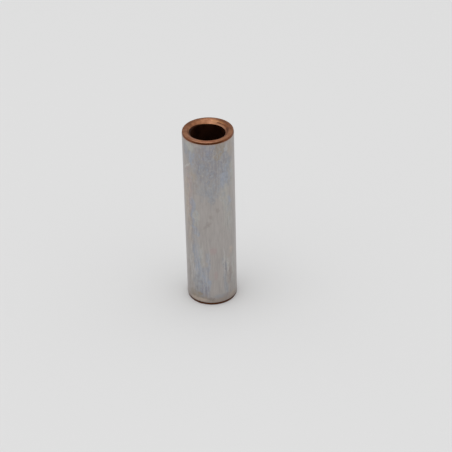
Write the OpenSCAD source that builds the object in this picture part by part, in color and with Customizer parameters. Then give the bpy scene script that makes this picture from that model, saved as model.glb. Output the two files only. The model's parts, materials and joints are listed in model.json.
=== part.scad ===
// Gudgeon pin: a hollow steel pin that joins a piston to its connecting rod.
// One turned and ground piece, standing on one end, with its axis on Z and its lower end face at z = 0.

/* [Pin] */
// Diameter of the ground outside
pin_d = 20; // [14:0.5:40]
// Length over the two end faces
pin_l = 75.5; // [40:0.5:160]
// Thickness of the wall between the outside and the bore
wall = 3.2; // [2.2:0.1:5]

/* [Ends] */
// Length of the lead-in taper at each end of the outside
lead_l = 0.9; // [0.4:0.1:2]
// Angle of the lead-in taper from the pin's axis
lead_angle = 10; // [5:1:30]
// Radius of the edge between the lead-in taper and the end face
edge_r = 0.15; // [0.05:0.05:0.5]
// Depth of the chamfer at each mouth of the bore
mouth_depth = 1.2; // [0.5:0.1:2]
// Angle of the mouth chamfer from the pin's axis
mouth_angle = 45; // [20:1:55]

/* [Hidden] */
$fn = 128;

pin_r = pin_d / 2;
bore_r = pin_r - wall;
mouth_r = bore_r + mouth_depth * tan(mouth_angle);

// Radius where the lead-in taper would meet the end face in a sharp corner
corner_r = pin_r - lead_l * tan(lead_angle);
// Distance from that corner to each end of the rounded edge
edge_run = edge_r * tan((90 - lead_angle) / 2);
edge_centre = [corner_r - edge_run, pin_l - edge_r];
// Straight steps in the rounded edge
edge_steps = 5;

// Rounded edge of the upper end, from the taper to the end face
edge_points = [
    for (i = [0 : edge_steps])
        let (angle = lead_angle + (90 - lead_angle) * i / edge_steps)
            edge_centre + edge_r * [cos(angle), sin(angle)]
];

// Outline of the upper end as [radius, height], from the ground outside to the bore
upper_end = concat(
    [[pin_r, pin_l - lead_l]],
    edge_points,
    [[mouth_r, pin_l], [bore_r, pin_l - mouth_depth]]
);

// The lower end is the upper one turned over, from the bore to the ground outside
lower_end = [
    for (i = [len(upper_end) - 1 : -1 : 0])
        [upper_end[i].x, pin_l - upper_end[i].y]
];

// Section through the wall on one side of the axis
module wall_section() {
    polygon(concat(lower_end, upper_end));
}

module gudgeon_pin() {
    color("silver")
        rotate_extrude()
            wall_section();
}

gudgeon_pin();
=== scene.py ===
"""Looks of a hollow steel gudgeon pin on its end: ground outside, copper-flashed ends and a dark bore."""

import json
import math

import bpy
from mathutils import Matrix, Vector


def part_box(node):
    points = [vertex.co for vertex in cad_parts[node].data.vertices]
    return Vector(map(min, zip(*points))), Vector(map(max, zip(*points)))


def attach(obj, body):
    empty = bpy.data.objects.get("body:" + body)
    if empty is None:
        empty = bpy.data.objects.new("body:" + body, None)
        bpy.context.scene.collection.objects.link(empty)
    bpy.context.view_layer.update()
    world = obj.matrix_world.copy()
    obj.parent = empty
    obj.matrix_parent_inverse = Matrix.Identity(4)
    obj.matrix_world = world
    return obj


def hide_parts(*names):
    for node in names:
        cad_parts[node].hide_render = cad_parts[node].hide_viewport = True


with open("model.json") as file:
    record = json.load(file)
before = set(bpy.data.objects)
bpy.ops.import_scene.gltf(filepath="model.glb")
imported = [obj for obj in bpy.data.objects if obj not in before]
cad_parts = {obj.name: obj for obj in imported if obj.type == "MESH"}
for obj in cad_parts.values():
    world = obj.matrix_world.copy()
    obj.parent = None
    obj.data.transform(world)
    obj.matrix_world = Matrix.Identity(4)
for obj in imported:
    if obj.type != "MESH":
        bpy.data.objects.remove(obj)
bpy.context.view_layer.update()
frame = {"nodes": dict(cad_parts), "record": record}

MM = 0.001
NODE = "gudgeon_pin"

# Sizes of the pin, from the frame
dims = {mount["name"]: mount["dims"] for mount in frame["record"]["mounts"]}
low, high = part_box(NODE)
PIN_L = high.z - low.z
PIN_R = dims["outer_surface"]["r_mm"] * MM
BORE_R = dims["bore"]["r_mm"] * MM
LEAD_L = (PIN_L - dims["outer_surface"]["length_mm"] * MM) / 2
MOUTH_DEPTH = (PIN_L - dims["bore"]["length_mm"] * MM) / 2

# Fine edge radii that only the looks need
LEAD_BLEND_R = 0.6 * MM
MOUTH_EDGE_R = 0.3 * MM
BORE_EDGE_R = 0.15 * MM

# Mesh fineness
SEGMENTS = 256
ARC_STEPS = 5
OUTSIDE_RINGS = 24
BORE_RINGS = 12
SUPPORT = 0.04 * MM

# Decimals of a metre to which the frame's corners are read, and the distance within which two sizes are one
READ_DIGITS = 6
TOUCH = 0.001 * MM
# Depth below the outside to which a face still belongs to it
GROUND_BAND = 0.02 * MM
# Places of the three materials on the pin
OUTSIDE, ENDS, BORE = range(3)

# Share of the pale floor's light that the ground outside mirrors to the camera
MIRRORED = 0.707

# Colours of the ground outside, as sRGB from 0 to 255 where it mirrors the floor
STEEL_PALE = (152, 147, 144)
STEEL_DEEP = (148, 143, 140)
SPECK = (122, 115, 110)
FILM_COOL = (141, 148, 158)
FILM_WARM = (150, 140, 129)
FILM_DARK = (128, 125, 125)
FILM_PALE = (162, 159, 156)
COPPER_TRACE = (146, 124, 111)
FOOT_GOLD = (136, 121, 109)
# Painted contact shade along the foot, in dark brown, not a colour of the steel
FOOT_SHADE_BROWN = (66, 40, 26)

# Tints of the oil film, in the same terms
MAUVE = (129, 128, 133)
SLATE = (135, 137, 142)
INDIGO = (126, 127, 138)
BLUE = (138, 145, 158)
PALE = (157, 156, 151)
PINK = (152, 138, 136)
TAN = (164, 152, 141)
GOLD = (137, 128, 117)
RUST = (139, 130, 125)

# Colours of the copper ends and the bore
COPPER_PALE = (0.415, 0.188, 0.098, 1)
COPPER_DEEP = (0.325, 0.139, 0.072, 1)
COPPER_MARK = (0.2, 0.085, 0.045, 1)
COPPER_BROWN = (0.26, 0.09, 0.036, 1)
COPPER_GOLD = (0.47, 0.235, 0.09, 1)
COPPER_MAUVE = (0.2, 0.098, 0.085, 1)
# A pink painted highlight on the copper, not a colour of it
COPPER_PINK_HIGHLIGHT = (0.4, 0.21, 0.15, 1)
# A pale painted highlight on the copper, not a colour of it
COPPER_PAINTED_HIGHLIGHT = (0.56, 0.29, 0.18, 1)
LEAD_BROWN = (0.11, 0.036, 0.013, 1)
LEAD_PALE = (0.24, 0.088, 0.042, 1)
BORE_DARK = (0.042, 0.015, 0.008, 1)
BORE_BROWN = (0.062, 0.023, 0.012, 1)

# Stains of the film: tint, angle from the front in degrees to the right, height, half width and half length
# in millimetres, lean in degrees, and share of the tint in the middle of the stain
STAINS = [
    # Broad film over the upper half, with runs down from it
    (MAUVE, 8, 66, 10.5, 12, 0, 1.0),
    (MAUVE, 36, 67, 4, 4.2, 0, 0.9),
    (SLATE, -9, 64, 2.4, 3, 0, 0.6),
    (SLATE, 4, 55, 6.5, 5.5, 0, 0.8),
    (SLATE, 5, 50, 1.6, 5, 0, 0.8),
    (SLATE, 46, 61, 3.8, 9, 0, 0.9),
    (BLUE, 34, 58.5, 2.4, 6, 12, 0.9),
    (BLUE, 49, 48, 1.8, 4.5, 0, 0.8),
    (PALE, 37, 50, 2.4, 8, 0, 0.7),
    (PALE, 47, 40, 3, 8, 0, 0.6),
    (GOLD, 25, 71, 3.8, 3.6, 0, 1.0),
    (FILM_PALE, 44, 71.5, 0.9, 3.6, 0, 0.9),
    (FILM_WARM, 57, 71, 2.6, 3.4, 0, 0.6),
    (PALE, 61, 59, 1.6, 6.5, 0, 0.9),
    (INDIGO, -6, 71.5, 4.2, 3.2, 0, 0.9),
    (RUST, -18, 72, 2.6, 3, 0, 0.7),
    # Pale, bluish and tan patches at the upper left
    (PALE, -47, 72, 2.8, 2.8, 0, 1.0),
    (BLUE, -39, 68, 2.2, 4, 0, 0.9),
    (SLATE, -58, 70, 3.5, 3.5, 0, 0.8),
    (FILM_WARM, -42, 60.5, 2.8, 4, 0, 0.7),
    (PINK, -55, 58, 3.6, 6, 0, 0.9),
    (RUST, -34, 55.5, 2.2, 3, 0, 0.7),
    # Tan left side behind a narrow bluish run
    (TAN, -59, 47, 3.4, 18, 0, 1.0),
    (PINK, -47, 49, 1.5, 10, 0, 1.0),
    (TAN, -55, 33, 2.6, 7, 0, 0.9),
    (RUST, -61, 32, 1.2, 9, 0, 0.4),
    (RUST, -48, 40, 1.2, 7, 0, 0.7),
    (RUST, -54, 37, 1.4, 2.2, 0, 0.7),
    (MAUVE, -42, 31, 1.6, 24, 0, 0.55),
    (BLUE, -41, 45, 1.4, 8, 0, 0.7),
    (BLUE, -37, 35.5, 2.2, 3.4, 0, 0.8),
    (PALE, -31, 41.5, 1.9, 4.5, 0, 1.0),
    # Bluish film at the lower left
    (BLUE, -35, 20, 2.6, 13, 0, 0.65),
    (BLUE, -17, 12, 3, 8, 0, 0.8),
    (PALE, -25, 23, 1.3, 9, 0, 0.8),
    (SLATE, -35, 10.5, 3.2, 6, 0, 0.9),
    (BLUE, -31, 17, 1.8, 4, 0, 0.9),
    (INDIGO, -21, 5.6, 3.2, 4.4, 0, 1.0),
    (BLUE, -7, 16, 1, 11, 0, 0.6),
    (FILM_PALE, -50, 18, 2.4, 10, 0, 0.9),
    (RUST, -62, 12, 1.9, 8, 0, 0.7),
    # Dark, pale and rusty runs at the lower right
    (SLATE, 33, 13, 1.4, 15, 0, 0.9),
    (PALE, 40, 19, 1.2, 5, 0, 0.8),
    (RUST, 48, 10, 1.6, 8, 0, 0.7),
    (TAN, 53, 24.5, 1.3, 2.4, 0, 0.8),
    (PALE, 58, 15, 1.2, 9, 0, 0.8),
    # Film on the side away from the camera
    (MAUVE, 168, 67, 10, 12, 0, 0.9),
    (SLATE, 150, 55, 3.4, 8, 0, 0.8),
    (SLATE, 188, 53, 1.8, 8, 0, 0.8),
    (BLUE, 122, 60, 2, 10, 0, 0.6),
    (TAN, 218, 56, 2.6, 12, 0, 0.8),
    (TAN, 108, 38, 2.4, 18, 0, 0.7),
    (BLUE, 204, 18, 2.6, 15, 0, 0.65),
    (BLUE, 178, 13, 1.6, 12, 0, 0.55),
    (SLATE, 142, 12, 1.8, 12, 0, 0.8),
    (RUST, 118, 14, 1.4, 11, 0, 0.7),
    (PALE, 262, 28, 1.2, 16, 0, 0.7),
    (SLATE, 270, 62, 2.4, 12, 0, 0.7),
    (INDIGO, 250, 7, 2.6, 7, 0, 0.8),
]
# Single spots with firmer edges, in the same terms
SPOTS = [
    # Faint spots, specks and thin runs, and one pale scratch
    (PINK, 6, 26, 2, 2.2, 0, 0.7),
    (PINK, 10, 14, 1, 3, 0, 0.6),
    (SPECK, 18, 45, 1.1, 1.6, 0, 0.32),
    (SPECK, 1, 42, 1.2, 1.4, 0, 0.3),
    (SPECK, -4, 39, 1.4, 1.2, 0, 0.22),
    (SPECK, -10, 37.5, 3.2, 0.9, -38, 0.22),
    (FILM_PALE, 31, 20, 0.5, 9, 0, 0.8),
    (FILM_PALE, 41, 17.5, 0.6, 4, 0, 0.9),
    (MAUVE, 35, 17, 0.6, 7, 0, 0.2),
    (SPECK, 48, 14, 0.8, 6, 0, 0.3),
    (PALE, -42, 72, 2.2, 1.6, 0, 0.7),
    (PINK, -58, 62, 3.4, 0.6, -42, 0.5),
    (FILM_PALE, -56, 63.4, 3.6, 0.6, -42, 1.0),
    # Tan, olive and dark marks just above the foot
    (GOLD, -44, 4.4, 4, 2.4, 0, 0.5),
    (GOLD, -36, 3, 5.5, 1.5, 0, 0.6),
    (TAN, -34, 2.1, 5.5, 1.1, 0, 0.9),
    (GOLD, -29, 4.8, 1.6, 1, 0, 0.9),
    (SPECK, -1, 2.7, 1.8, 1.1, 0, 0.7),
    (SLATE, 20, 3.8, 3.6, 1.3, 0, 0.6),
    (RUST, 37, 3.2, 2.6, 1.8, 0, 0.6),
    (TAN, 55, 3, 2.4, 1.3, 0, 0.4),
]
# Stains of the copper end, and painted highlights and painted shade on it: tint, angle and half spread in
# degrees, distance from the axis and half depth in millimetres, and share of the tint
END_STAINS_AND_PAINTED_LIGHT = [
    (COPPER_BROWN, -124, 34, 8.8, 1.3, 0.5),
    (COPPER_BROWN, 116, 36, 8.2, 1.6, 0.75),
    (COPPER_MARK, 134, 12, 9.0, 0.5, 0.6),
    (COPPER_GOLD, 150, 24, 7.5, 0.9, 0.5),
    (COPPER_MAUVE, 42, 30, 7.6, 0.8, 0.7),
    # Painted highlights at the front of the mouth and on the front-left land
    (COPPER_PINK_HIGHLIGHT, -8, 40, 7.0, 0.8, 0.6),
    (COPPER_PINK_HIGHLIGHT, -46, 26, 8.1, 0.9, 0.65),
    # Painted shade that tones down the highlight at the front of the land and mouth
    (COPPER_MAUVE, 0, 20, 8.2, 2.2, 0.35),
    (COPPER_BROWN, 0, 20, 8.8, 1.8, 0.3),
    # Painted highlights on the back of the land and mouth, at the hole's edge on the back right, and along
    # the front of the outer edge
    (COPPER_PAINTED_HIGHLIGHT, 172, 34, 8.3, 1.6, 0.15),
    (COPPER_PAINTED_HIGHLIGHT, 152, 34, 7.2, 0.8, 0.4),
    (COPPER_PAINTED_HIGHLIGHT, 112, 50, 6.95, 0.45, 0.7),
    (COPPER_PAINTED_HIGHLIGHT, -10, 46, 9.65, 0.35, 0.6),
    (LEAD_BROWN, 26, 22, 9.75, 0.4, 0.4),
    (LEAD_BROWN, 180, 95, 9.8, 0.4, 0.55),
    (LEAD_BROWN, 180, 36, 9.6, 0.6, 0.5),
]
# Stretches of the copper end with dark streaks along the ring, in the same terms
END_STREAKS = [
    (COPPER_MARK, 126, 42, 8.1, 1.3, 1.0),
    (COPPER_MARK, -136, 26, 8.8, 1.2, 0.9),
]
# Paler sides of the upper lead-in, in the same terms
LEAD_PALE_SIDES = [
    (LEAD_PALE, -60, 34, 9.9, 0.25, 1.0),
    (LEAD_PALE, 60, 34, 9.9, 0.25, 1.0),
]
# Round edge of the dark that reaches out of the bore a little on one side, over the left of the mouth:
# centre, radius and softness in millimetres
MOUTH_DARK_CENTRE = (-0.75, 0.22, 0.0)
MOUTH_DARK_R = 6.45
MOUTH_DARK_SOFT = 0.14
# Radius where the land gives way to the darker lead-in, and softness of that edge, in millimetres
LAND_RIM = 9.78
RIM_SOFT = 0.08
# Gold of the foot: height above the lower lead-in where it begins, in millimetres, and its share
FOOT_GOLD_TOP = 4.0
FOOT_GOLD_SHARE = 0.55
# Painted contact shade of the foot, in dark brown: heights above the lower lead-in where it begins and is
# full, in millimetres
FOOT_SHADE_TOP = 0.3
FOOT_SHADE_FULL = 0.1
# Trace of copper below the upper lead-in: its reach in millimetres, and its share
COPPER_REACH = 0.6
COPPER_SHARE = 0.5

# Depth of a stain into the pin, in millimetres, and part of its half size at which it starts to fade
STAIN_REACH = 9.0
SOFT_FROM = 0.45
# How the edges of stains wander: bends per millimetre, and reach along X, Y and Z in millimetres
STAIN_WANDER = (0.3, (5.0, 5.0, 12.0))
SPOT_WANDER = (0.9, (2.0, 2.0, 2.0))
END_WANDER = (0.9, (0.8, 0.8, 0.0))
WANDER_DETAIL = 3.0
# Heights at which the film's lower runs begin and are at their full strength, in millimetres
RUNS_TOP = 52.0
RUNS_FULL = 30.0
# Shares of the film's flecks and mottling, and of the grain beside the film and in it
FLECK_SHARE = 0.42
MOTTLE_SHARE = 0.38
GRAIN_SHARE = 0.22
GRAIN_SHARE_FILM = 0.6
# How fast the streaks of the copper end change round its axis: the slower, the longer they are
STREAK_TURNS = (1.2, 1.2, 1.0)

# Noises: features per millimetre, detail, how far they are drawn out along X, Y and Z, and curl
RUNS_NOISE = (0.7, 3.0, (1, 1, 9))
BREAKS_NOISE = (0.8, 4.0, (1, 1, 3))
FLECKS_NOISE = (0.9, 4.0, (1, 1, 1.6), 1.2)
GRAIN_NOISE = (1.7, 3.0, (1, 1, 8))
SPECKS_NOISE = (1.1, 1.0, (1, 1, 1.6))
GRINDING_NOISE = (1.0, 4.0, (40, 40, 0.12))
TURNING_NOISE = (5.0, 2.0)
MOTTLE_NOISE = (0.55, 4.0)
STREAKS_NOISE = (1.6, 2.0)
PATCHES_NOISE = (0.4, 4.0, (1, 1, 2))
# Ranges of the noises, each followed by the values at its two ends where these aren't 0 and 1
RUNS_RANGE = (0.35, 0.65)
BREAKS_RANGE = (0.36, 0.58, 0.65, 1.0)
SPECKS_RANGE = (0.74, 0.82, 0.0, 0.3)
MOTTLE_RANGE = (0.36, 0.64)
STREAKS_RANGE = (0.46, 0.56)
PATCHES_RANGE = (0.35, 0.65)
GROUND_ROUGHNESS = (0.2, 0.8, 0.27, 0.36)
COPPER_ROUGHNESS = (0.3, 0.7, 0.44, 0.34)
BORE_ROUGHNESS = (0.3, 0.7, 0.6, 0.8)
# Middle of a noise, and the levels at which the tints below and above it have their full share
NOISE_MIDDLE = 0.5
NOISE_LOW = 0.36
NOISE_HIGH = 0.64

# Depth of the grinding and turning marks, and how strongly each shows
MARK_DEPTH = 0.01 * MM
GROUND_BUMP = 0.06
COPPER_BUMP = 0.15
# How far the marks spread a reflection, and the part of a turn that lays the spread across them
GROUND_SPREAD = 0.4
COPPER_SPREAD = 0.93
SPREAD_TURN = 0.25
# Tint of the ground outside where it is seen at a flat angle
GRAZING_TINT = (0.9, 0.9, 0.9, 1)

# Floor: half its side in metres, colour as sRGB from 0 to 255, and roughness
FLOOR_HALF = 6.0
FLOOR_COLOUR = (222, 222, 222)
FLOOR_ROUGHNESS = 0.9

# Sky: strength at the horizon, overhead and added at the sides
SKY_HORIZON = 0.2
SKY_TOP = 0.85
SKY_SIDES = 0.25
# Ranges of a direction's height, and of its part to the side, over which the sky and its sides brighten
SKY_RISE = (0.0, 0.75)
SKY_SIDES_RISE = (0.0, 0.4)
SKY_SIDES_SPREAD = (0.2, 0.8)
# Softbox above the pin: place and size in metres, and power in watts
TOP_PLACE = (-0.15, -0.1, 1.6)
TOP_SIZE = (1.0, 1.2)
TOP_POWER = 5.5

# Camera of the photograph: place in pin radii, tilt and roll in degrees, focal length and width of the
# picture in pixels, width of the sensor in millimetres, and nearest distance that it sees in metres
CAMERA_PLACE = (0.612, -52.4048, 37.8093)
CAMERA_PITCH = 33.4915
CAMERA_ROLL = -1.3204
FOCAL_PIXELS = 1581.74
PICTURE_WIDTH = 452
SENSOR_MM = 36.0
CLIP_START = 0.01

# Sockets of a Mix node that mixes colours
MIX_SHARE, MIX_FIRST, MIX_SECOND, MIX_RESULT = 0, 6, 7, 2


def end_profile():
    """Corners of the upper end as (radius, height, fillet radius), from the outside to the bore."""
    places = [vertex.co for vertex in frame["nodes"][NODE].data.vertices]
    rings = {(round(math.hypot(p.x, p.y), READ_DIGITS), round(p.z, READ_DIGITS)) for p in places}
    top = [r for r, z in rings if z > high.z - TOUCH]
    mouth_r, land_r = min(top), max(top)
    taper = sorted((z, r) for r, z in rings if r > land_r and z > high.z - LEAD_L + TOUCH)
    taper_z, taper_r = taper[0]
    slope = (PIN_R - taper_r) / (taper_z - (high.z - LEAD_L))
    corner_r = PIN_R - slope * LEAD_L
    half_turn = (math.pi / 2 - math.atan(slope)) / 2
    edge_r = (corner_r - land_r) / math.tan(half_turn)
    return [
        (PIN_R, high.z - LEAD_L, LEAD_BLEND_R),
        (corner_r, high.z, edge_r),
        (mouth_r, high.z, MOUTH_EDGE_R),
        (BORE_R, high.z - MOUTH_DEPTH, BORE_EDGE_R),
    ]


def fillet(before, corner, after, radius):
    """Points of the arc that rounds a corner of a section, with a support point beyond each end."""
    to_before = (before - corner).normalized()
    to_after = (after - corner).normalized()
    half = to_before.angle(to_after) / 2
    run = radius / math.tan(half)
    centre = corner + (to_before + to_after).normalized() * (radius / math.sin(half))
    start = corner + to_before * run - centre
    end = corner + to_after * run - centre
    turn = start.angle(end)
    arc = []
    for i in range(ARC_STEPS + 1):
        share = i / ARC_STEPS
        weight_start = math.sin((1 - share) * turn) / math.sin(turn)
        weight_end = math.sin(share * turn) / math.sin(turn)
        arc.append(centre + start * weight_start + end * weight_end)
    return [arc[0] + to_before * SUPPORT] + arc + [arc[-1] + to_after * SUPPORT]


def section():
    """Closed section of the wall as (radius, height) points, with its corners rounded."""
    upper = end_profile()
    corners = [Vector((r, z)) for r, z, _ in upper]
    lower = [Vector((p.x, low.z + high.z - p.y)) for p in reversed(corners)]
    outline = lower + corners
    radii = [radius for _, _, radius in reversed(upper)] + [radius for _, _, radius in upper]
    count = len(outline)
    # The outside follows the last lower corner, and the bore follows the last upper one
    rings_after = {len(lower) - 1: OUTSIDE_RINGS, count - 1: BORE_RINGS}
    points = []
    for i, corner in enumerate(outline):
        j, k = (i + 1) % count, (i + 2) % count
        arc = fillet(outline[i - 1], corner, outline[j], radii[i])
        points.extend(arc)
        if i in rings_after:
            reach = fillet(corner, outline[j], outline[k], radii[j])[0]
            steps = rings_after[i]
            points.extend(arc[-1].lerp(reach, step / steps) for step in range(1, steps))
    return points


def zone(a, b):
    """Place of the material that the stretch of the section from a to b takes."""
    middle = (a + b) / 2
    if middle.x > PIN_R - GROUND_BAND:
        return OUTSIDE
    if middle.x < BORE_R + TOUCH:
        return BORE
    return ENDS


def lathe(name, points, materials):
    """Closed mesh of revolution about Z, with the turn and the section's length as its bake map."""
    count = len(points)
    verts = []
    for k in range(SEGMENTS):
        angle = 2 * math.pi * k / SEGMENTS
        verts.extend((p.x * math.cos(angle), p.x * math.sin(angle), p.y) for p in points)
    lengths = [0.0]
    for i in range(count):
        lengths.append(lengths[-1] + (points[(i + 1) % count] - points[i]).length)
    faces, places, zones = [], [], []
    for k in range(SEGMENTS):
        here, there = k * count, ((k + 1) % SEGMENTS) * count
        for i in range(count):
            j = (i + 1) % count
            faces.append((here + i, there + i, there + j, here + j))
            u0, u1 = k / SEGMENTS, (k + 1) / SEGMENTS
            v0, v1 = lengths[i] / lengths[-1], lengths[i + 1] / lengths[-1]
            places.extend([(u0, v0), (u1, v0), (u1, v1), (u0, v1)])
            zones.append(zone(points[i], points[j]))
    mesh = bpy.data.meshes.new(name)
    mesh.from_pydata(verts, [], faces)
    layer = mesh.uv_layers.new(name="OFBake")
    for loop, place in zip(layer.data, places):
        loop.uv = place
    for material in materials:
        mesh.materials.append(material)
    for polygon, index in zip(mesh.polygons, zones):
        polygon.material_index = index
        polygon.use_smooth = True
    mesh.validate()
    piece = bpy.data.objects.new(name, mesh)
    bpy.context.scene.collection.objects.link(piece)
    return piece


def add(tree, kind, inputs=None, **settings):
    """Adds a node with its settings; an input is set to a value or linked to a socket."""
    made = tree.nodes.new(kind)
    for key, value in settings.items():
        setattr(made, key, value)
    for key, value in (inputs or {}).items():
        if isinstance(value, bpy.types.NodeSocket):
            tree.links.new(value, made.inputs[key])
        else:
            made.inputs[key].default_value = value
    return made


def new_material(name):
    """New material of nodes; gives the material, its tree and its shader."""
    material = bpy.data.materials.new(name)
    material.use_nodes = True
    tree = material.node_tree
    return material, tree, tree.nodes["Principled BSDF"]


def calculate(tree, operation, *values):
    """Result of an operation on values, each a number or a socket."""
    return add(tree, "ShaderNodeMath", dict(enumerate(values)), operation=operation).outputs["Value"]


def calculate_vector(tree, operation, *values, result="Vector"):
    """Result of an operation on vectors, each three numbers or a socket."""
    made = add(tree, "ShaderNodeVectorMath", dict(enumerate(values)), operation=operation)
    return made.outputs[result]


def times(tree, a, b):
    """Product of two values, each a number or a socket."""
    return calculate(tree, "MULTIPLY", a, b)


def ramp(tree, value, start, end, to_start=0.0, to_end=1.0):
    """Value taken smoothly from one range to another."""
    made = add(tree, "ShaderNodeMapRange", {
        "Value": value, "From Min": start, "From Max": end, "To Min": to_start, "To Max": to_end,
    }, interpolation_type="SMOOTHSTEP")
    return made.outputs["Result"]


def blend(tree, share, first, second):
    """Colour between two others, each a colour or a socket."""
    inputs = {MIX_SHARE: share, MIX_FIRST: first, MIX_SECOND: second}
    return add(tree, "ShaderNodeMix", inputs, data_type="RGBA").outputs[MIX_RESULT]


def rgb(red, green, blue):
    """Linear colour of an sRGB one that is given from 0 to 255."""
    def linear(value):
        share = value / 255
        return share / 12.92 if share <= 0.04045 else ((share + 0.055) / 1.055) ** 2.4
    return (linear(red), linear(green), linear(blue), 1.0)


def seen(red, green, blue):
    """Metal colour that looks like the given sRGB one where it mirrors the pale floor."""
    return tuple(min(value / MIRRORED, 1.0) for value in rgb(red, green, blue)[:3]) + (1.0,)


def pin_places(tree):
    """Object coordinates in millimetres, with the height of the pin along Z."""
    place = add(tree, "ShaderNodeTexCoord").outputs["Object"]
    return calculate_vector(tree, "MULTIPLY", place, (1 / MM, 1 / MM, 1 / MM))


def around_axis(tree, places):
    """Direction from the pin's axis, distance from it, and height, in millimetres."""
    flat = calculate_vector(tree, "MULTIPLY", places, (1, 1, 0))
    way = calculate_vector(tree, "NORMALIZE", flat)
    radius = calculate_vector(tree, "LENGTH", flat, result="Value")
    height = add(tree, "ShaderNodeSeparateXYZ", {"Vector": places}).outputs["Z"]
    return way, radius, height


def noise(tree, places, scale, detail, stretch=(1, 1, 1), curl=0.0):
    """Soft noise with about so many features per millimetre, drawn out along the axes and curled."""
    drawn = add(tree, "ShaderNodeMapping", {"Vector": places, "Scale": tuple(1 / s for s in stretch)})
    return add(tree, "ShaderNodeTexNoise", {
        "Vector": drawn.outputs["Vector"], "Scale": scale, "Detail": detail, "Distortion": curl,
    })


def ring_noise(tree, radius, scale, detail):
    """Soft noise that changes with the distance from the axis alone."""
    made = add(tree, "ShaderNodeTexNoise", {
        "W": radius, "Scale": scale, "Detail": detail,
    }, noise_dimensions="1D")
    return made.outputs["Fac"]


def streaks(tree, way, radius):
    """Soft noise that is drawn out round the pin's axis."""
    across = add(tree, "ShaderNodeCombineXYZ", {"Z": radius}).outputs["Vector"]
    drawn = calculate_vector(tree, "MULTIPLY_ADD", way, STREAK_TURNS, across)
    return noise(tree, drawn, *STREAKS_NOISE).outputs["Fac"]


def wander(tree, places, scale, reach):
    """Places moved about by a soft noise, so that what is drawn at them gets loose edges."""
    drift = noise(tree, places, scale, WANDER_DETAIL).outputs["Color"]
    centred = calculate_vector(tree, "SUBTRACT", drift, (NOISE_MIDDLE, NOISE_MIDDLE, NOISE_MIDDLE))
    return calculate_vector(tree, "MULTIPLY_ADD", centred, reach, places)


def stain(tree, places, spot):
    """One stain of the oil film, a soft patch on the outside: its share at each place, and its tint."""
    tint, angle, height, width, length, lean, share = spot
    turn = math.radians(angle)
    radius = PIN_R / MM
    local = add(tree, "ShaderNodeMapping", {
        "Vector": places,
        "Location": (radius * math.sin(turn), -radius * math.cos(turn), height),
        "Rotation": (0, math.radians(lean), turn),
        "Scale": (width, STAIN_REACH, length),
    }, vector_type="TEXTURE").outputs["Vector"]
    patch = add(tree, "ShaderNodeTexGradient", {"Vector": local}, gradient_type="SPHERICAL")
    return ramp(tree, patch.outputs["Fac"], 0.0, 1 - SOFT_FROM, 0.0, share), seen(*tint)


def end_patch(tree, way, radius, spot):
    """One soft piece of a ring on the copper end, for a stain, a painted highlight or painted shade: its
    share at each place, and its tint.
    """
    tint, angle, spread, centre, depth, share = spot
    turn = math.radians(angle)
    middle = (math.sin(turn), -math.cos(turn), 0)
    facing = calculate_vector(tree, "DOT_PRODUCT", way, middle, result="Value")
    limits = [math.cos(math.radians(spread * part)) for part in (1, SOFT_FROM)]
    along = ramp(tree, facing, *limits, 0.0, share)
    away = calculate(tree, "ABSOLUTE", calculate(tree, "SUBTRACT", radius, centre))
    return times(tree, along, ramp(tree, away, depth, depth * SOFT_FROM)), tint


def marked_metal(tree, shader, marks, bump, spread):
    """Makes a shader a metal with fine marks that run round the axis."""
    grooves = add(tree, "ShaderNodeBump", {"Height": marks, "Strength": bump, "Distance": MARK_DEPTH})
    tree.links.new(grooves.outputs["Normal"], shader.inputs["Normal"])
    tangent = add(tree, "ShaderNodeTangent", direction_type="RADIAL", axis="Z")
    tree.links.new(tangent.outputs["Tangent"], shader.inputs["Tangent"])
    shader.inputs["Metallic"].default_value = 1.0
    shader.inputs["Anisotropic"].default_value = spread
    shader.inputs["Anisotropic Rotation"].default_value = SPREAD_TURN


def film_stains(tree, places, loose, colour):
    """Lays the film's stains over a colour; gives the new colour and the film's share at each place."""
    breaks = ramp(tree, noise(tree, places, *BREAKS_NOISE).outputs["Fac"], *BREAKS_RANGE)
    film = 0.0
    for spot in STAINS:
        share, tint = stain(tree, loose, spot)
        share = times(tree, share, breaks)
        colour = blend(tree, share, colour, tint)
        film = calculate(tree, "MAXIMUM", film, share)
    return colour, film


def film_grain(tree, places, level, film, colour):
    """Lays the film's flecks and mottling over a colour, and the grain that is strongest in its runs."""
    curls = noise(tree, places, *FLECKS_NOISE).outputs["Color"]
    flecks = add(tree, "ShaderNodeSeparateColor", {"Color": curls})
    grain = noise(tree, places, *GRAIN_NOISE).outputs["Fac"]
    film_below = times(tree, film, ramp(tree, level, RUNS_TOP, RUNS_FULL))
    grain_share = ramp(tree, film_below, 0.0, 1.0, GRAIN_SHARE, GRAIN_SHARE_FILM)
    for values, weight, low_tint, high_tint in (
        (flecks.outputs["Red"], times(tree, film, FLECK_SHARE), FILM_WARM, FILM_COOL),
        (flecks.outputs["Green"], times(tree, film, MOTTLE_SHARE), FILM_DARK, FILM_PALE),
        (grain, grain_share, FILM_DARK, FILM_PALE),
    ):
        for edge, tint in ((NOISE_LOW, low_tint), (NOISE_HIGH, high_tint)):
            share = times(tree, weight, ramp(tree, values, NOISE_MIDDLE, edge))
            colour = blend(tree, share, colour, seen(*tint))
    return colour


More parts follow.
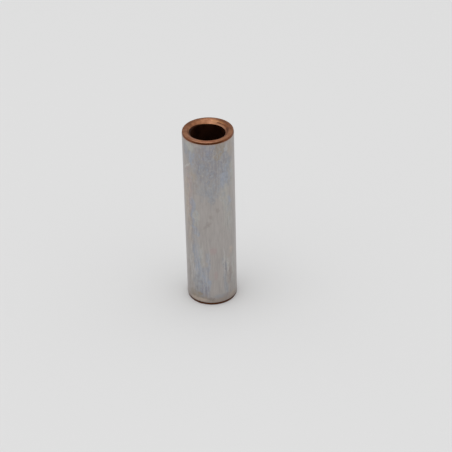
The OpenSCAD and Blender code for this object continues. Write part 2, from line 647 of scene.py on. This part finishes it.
def ground_steel():
    """Fine ground steel under a thin oil film, which leaves soft runs, tints and specks, with painted
    contact shade along the foot.
    """
    material, tree, shader = new_material("ground_steel")
    places = pin_places(tree)
    loose = wander(tree, places, *STAIN_WANDER)
    near = wander(tree, places, *SPOT_WANDER)
    level = around_axis(tree, places)[2]
    lead = LEAD_L / MM
    runs = noise(tree, places, *RUNS_NOISE).outputs["Fac"]
    colour = blend(tree, ramp(tree, runs, *RUNS_RANGE), seen(*STEEL_DEEP), seen(*STEEL_PALE))
    colour, film = film_stains(tree, places, loose, colour)
    colour = film_grain(tree, places, level, film, colour)
    loose_level = around_axis(tree, loose)[2]
    gold = ramp(tree, loose_level, lead + FOOT_GOLD_TOP, lead, 0.0, FOOT_GOLD_SHARE)
    colour = blend(tree, gold, colour, seen(*FOOT_GOLD))
    for spot in SPOTS:
        share, tint = stain(tree, near, spot)
        colour = blend(tree, share, colour, tint)
    specks = noise(tree, places, *SPECKS_NOISE).outputs["Fac"]
    colour = blend(tree, ramp(tree, specks, *SPECKS_RANGE), colour, seen(*SPECK))
    below_top = calculate(tree, "SUBTRACT", PIN_L / MM, level)
    copper = ramp(tree, below_top, lead + COPPER_REACH, lead, 0.0, COPPER_SHARE)
    colour = blend(tree, copper, colour, seen(*COPPER_TRACE))
    # Painted contact shade in dark brown along the foot, just above the lower lead-in
    foot_shade = ramp(tree, level, lead + FOOT_SHADE_TOP, lead + FOOT_SHADE_FULL)
    colour = blend(tree, foot_shade, colour, seen(*FOOT_SHADE_BROWN))
    tree.links.new(colour, shader.inputs["Base Color"])
    marks = noise(tree, places, *GRINDING_NOISE).outputs["Fac"]
    tree.links.new(ramp(tree, marks, *GROUND_ROUGHNESS), shader.inputs["Roughness"])
    marked_metal(tree, shader, marks, GROUND_BUMP, GROUND_SPREAD)
    shader.inputs["Specular Tint"].default_value = GRAZING_TINT
    return material


def copper_flash():
    """Brown copper left on the turned ends: mottled and stained, with a darker lead-in, and with painted
    highlights and painted shade on the land and mouth.
    """
    material, tree, shader = new_material("copper_flash")
    places = pin_places(tree)
    way, radius, height = around_axis(tree, places)
    near_way, near_radius, _ = around_axis(tree, wander(tree, places, *END_WANDER))
    mottle = noise(tree, places, *MOTTLE_NOISE).outputs["Fac"]
    colour = blend(tree, ramp(tree, mottle, *MOTTLE_RANGE), COPPER_DEEP, COPPER_PALE)
    # Stains, painted highlights and painted shade on the land and mouth
    for spot in END_STAINS_AND_PAINTED_LIGHT:
        share, tint = end_patch(tree, near_way, near_radius, spot)
        colour = blend(tree, share, colour, tint)
    drawn = ramp(tree, streaks(tree, way, radius), *STREAKS_RANGE)
    for spot in END_STREAKS:
        share, tint = end_patch(tree, near_way, near_radius, spot)
        colour = blend(tree, times(tree, share, drawn), colour, tint)
    # Dark of the bore reaching over the left of the mouth
    aside = calculate_vector(tree, "SUBTRACT", places, MOUTH_DARK_CENTRE)
    mouth_dark = ramp(tree, around_axis(tree, aside)[1], MOUTH_DARK_R + MOUTH_DARK_SOFT, MOUTH_DARK_R)
    colour = blend(tree, mouth_dark, colour, BORE_DARK)
    rim = ramp(tree, radius, LAND_RIM, LAND_RIM + RIM_SOFT)
    colour = blend(tree, rim, colour, LEAD_BROWN)
    at_top = ramp(tree, height, 0.0, PIN_L / MM)
    for spot in LEAD_PALE_SIDES:
        share, tint = end_patch(tree, way, radius, spot)
        colour = blend(tree, times(tree, share, at_top), colour, tint)
    tree.links.new(colour, shader.inputs["Base Color"])
    tree.links.new(ramp(tree, mottle, *COPPER_ROUGHNESS), shader.inputs["Roughness"])
    marks = ring_noise(tree, radius, *TURNING_NOISE)
    marked_metal(tree, shader, marks, COPPER_BUMP, COPPER_SPREAD)
    return material


def bore_oxide():
    """Dark, dull oxide in the bore, a little browner in patches."""
    material, tree, shader = new_material("bore_oxide")
    patches = noise(tree, pin_places(tree), *PATCHES_NOISE).outputs["Fac"]
    colour = blend(tree, ramp(tree, patches, *PATCHES_RANGE), BORE_DARK, BORE_BROWN)
    tree.links.new(colour, shader.inputs["Base Color"])
    tree.links.new(ramp(tree, patches, *BORE_ROUGHNESS), shader.inputs["Roughness"])
    shader.inputs["Metallic"].default_value = 1.0
    return material


def make_floor():
    """Plain pale floor that the pin stands on."""
    corners = [(x * FLOOR_HALF, y * FLOOR_HALF, 0) for x, y in ((-1, -1), (1, -1), (1, 1), (-1, 1))]
    mesh = bpy.data.meshes.new("floor")
    mesh.from_pydata(corners, [], [(0, 1, 2, 3)])
    material, _, shader = new_material("pale_floor")
    shader.inputs["Base Color"].default_value = rgb(*FLOOR_COLOUR)
    shader.inputs["Roughness"].default_value = FLOOR_ROUGHNESS
    shader.inputs["Specular IOR Level"].default_value = 0.0
    mesh.materials.append(material)
    floor = bpy.data.objects.new("floor", mesh)
    bpy.context.scene.collection.objects.link(floor)


def make_world():
    """Soft sky: dim at the horizon, brighter overhead and to both sides."""
    world = bpy.data.worlds.new("studio")
    bpy.context.scene.world = world
    world.use_nodes = True
    tree = world.node_tree
    way = add(tree, "ShaderNodeTexCoord").outputs["Generated"]
    parts = add(tree, "ShaderNodeSeparateXYZ", {"Vector": way}).outputs
    level = ramp(tree, parts["Z"], *SKY_RISE, SKY_HORIZON, SKY_TOP)
    sideways = calculate(tree, "ABSOLUTE", parts["X"])
    sides = ramp(tree, sideways, *SKY_SIDES_SPREAD, 0.0, SKY_SIDES)
    sides = times(tree, sides, ramp(tree, parts["Z"], *SKY_SIDES_RISE))
    background = tree.nodes["Background"]
    background.inputs["Color"].default_value = (1, 1, 1, 1)
    tree.links.new(calculate(tree, "ADD", level, sides), background.inputs["Strength"])


def softbox(name, place, size, power):
    """Soft rectangular lamp that faces the middle of the pin."""
    lamp = bpy.data.lights.new(name, "AREA")
    lamp.shape = "RECTANGLE"
    lamp.size, lamp.size_y = size
    lamp.energy = power
    holder = bpy.data.objects.new(name, lamp)
    holder.location = place
    aim = Vector((0, 0, PIN_L / 2)) - Vector(place)
    holder.rotation_euler = aim.to_track_quat("-Z", "Y").to_euler()
    bpy.context.scene.collection.objects.link(holder)


def make_camera():
    """Camera at the photograph's place and angle."""
    pitch, roll = math.radians(CAMERA_PITCH), math.radians(CAMERA_ROLL)
    forward = Vector((0, math.cos(pitch), -math.sin(pitch)))
    level_right = Vector((1, 0, 0))
    level_up = level_right.cross(forward)
    right = level_right * math.cos(roll) + level_up * math.sin(roll)
    up = level_up * math.cos(roll) - level_right * math.sin(roll)
    camera = bpy.data.cameras.new("camera")
    camera.sensor_width = SENSOR_MM
    camera.lens = FOCAL_PIXELS / PICTURE_WIDTH * SENSOR_MM
    camera.clip_start = CLIP_START
    holder = bpy.data.objects.new("camera", camera)
    turn = Matrix((right, up, -forward)).transposed().to_4x4()
    holder.matrix_world = Matrix.Translation(Vector(CAMERA_PLACE) * PIN_R) @ turn
    bpy.context.scene.collection.objects.link(holder)
    bpy.context.scene.camera = holder


def main():
    """Dresses the pin and sets it on its floor, in its light and before its camera."""
    pin = lathe("pin", section(), [ground_steel(), copper_flash(), bore_oxide()])
    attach(pin, "root")
    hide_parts(NODE)
    make_floor()
    make_world()
    softbox("softbox_top", TOP_PLACE, TOP_SIZE, TOP_POWER)
    make_camera()
    bpy.context.scene.view_settings.view_transform = "Standard"


main()
